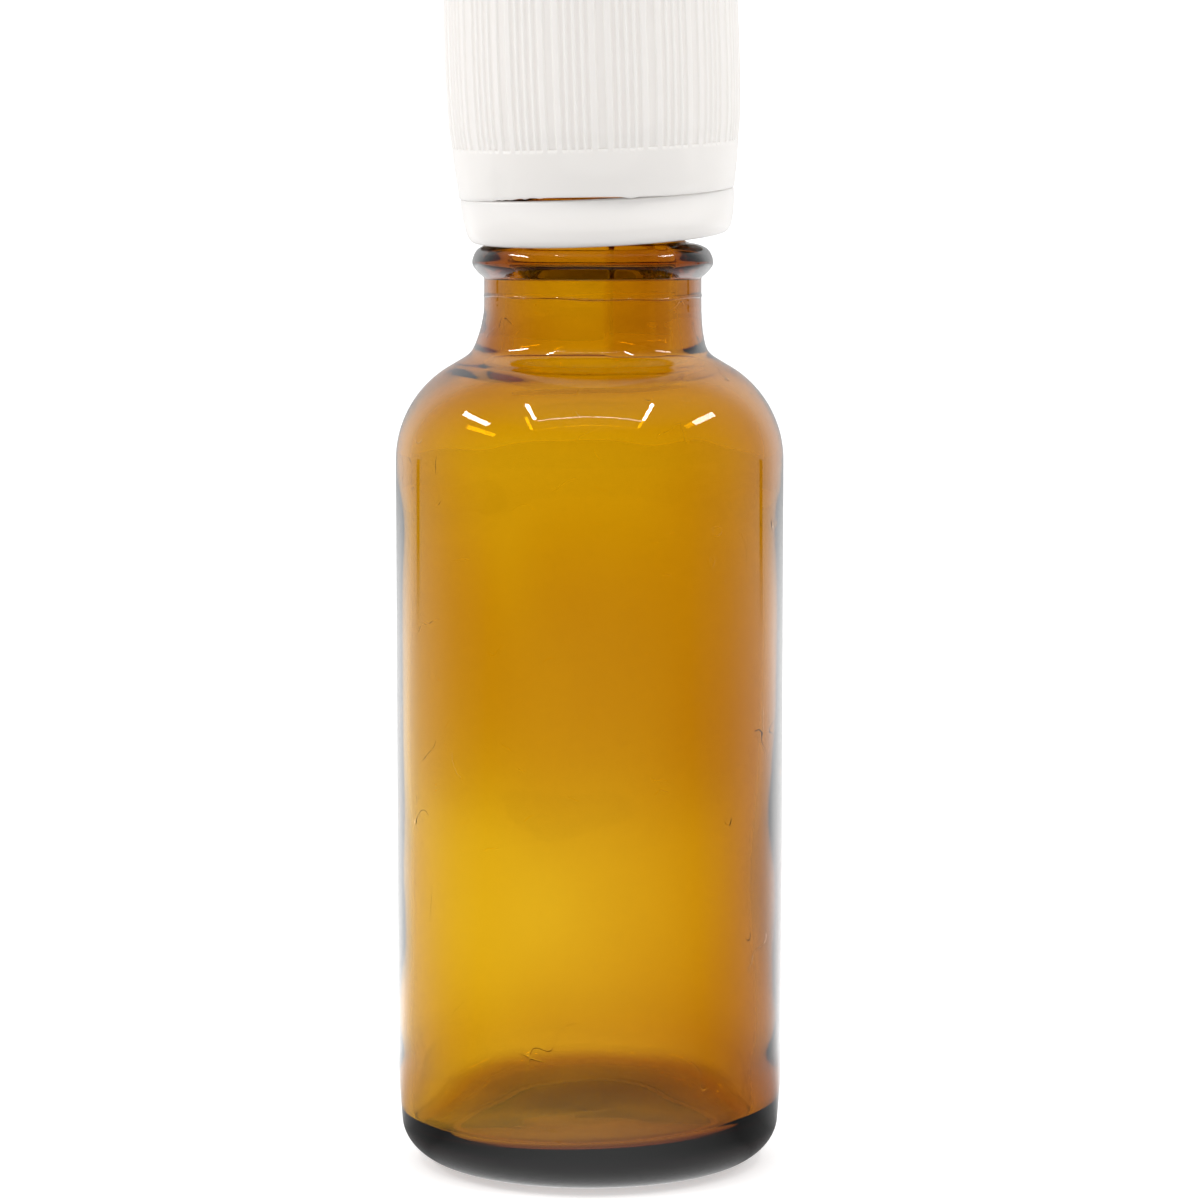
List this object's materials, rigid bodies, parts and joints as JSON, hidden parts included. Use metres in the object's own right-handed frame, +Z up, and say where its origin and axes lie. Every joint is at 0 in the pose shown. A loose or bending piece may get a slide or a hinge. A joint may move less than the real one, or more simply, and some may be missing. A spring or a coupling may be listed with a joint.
{
  "type": "ink bottle",
  "caption": "Round amber glass ink bottle with a domed shoulder, beaded neck, ribbed white push-and-turn screw cap and a separate tamper ring.",
  "frame": {"origin": "middle of the bottle's base, on the surface that it stands on", "axes": "+Z up along the bottle's axis; -Y towards the front, +X to the right as seen from the front"},
  "size_m": [0.035, 0.035, 0.1111],
  "materials": {
    "amber_glass": "clear amber glass, smooth",
    "insert_plastic": "soft natural polyethylene",
    "washer_foam": "soft white foam",
    "inner_cap_plastic": "moulded white plastic",
    "cap_plastic": "satin moulded white plastic",
    "ring_plastic": "satin moulded white plastic"
  },
  "bodies": {
    "bottle": {"glass_bottle": "amber_glass", "dropper_insert": "insert_plastic"},
    "ring": {"tamper_ring": "ring_plastic"},
    "washer": {"sealing_washer": "washer_foam"},
    "inner": {"inner_cap": "inner_cap_plastic"},
    "shell": {"outer_cap": "cap_plastic"}
  },
  "joints": [
    {"name": "ring_turn", "type": "hinge", "parent": "bottle", "child": "ring", "pos_m": [0.00078, 0.0001, 0.08407], "axis": [-0.0454, -0.054, 0.9975], "continuous": true},
    {"name": "closure_rise", "type": "slide", "parent": "bottle", "child": "washer", "axis": [-0.0323, -0.0523, 0.9981], "range_m": [0, 0.01501]},
    {"name": "cap_turn", "type": "hinge", "parent": "washer", "child": "inner", "pos_m": [0.00062, 0.00016, 0.08838], "axis": [-0.0323, -0.0523, 0.9981], "range_deg": [0, 1800]},
    {"name": "shell_lift", "type": "slide", "parent": "inner", "child": "shell", "axis": [-0.0323, -0.0523, 0.9981], "range_m": [0, 0.0011]}
  ],
  "couplings": [
    {"joint": "closure_rise", "follows": "cap_turn", "m_per_rad": 0.00047746}
  ]
}
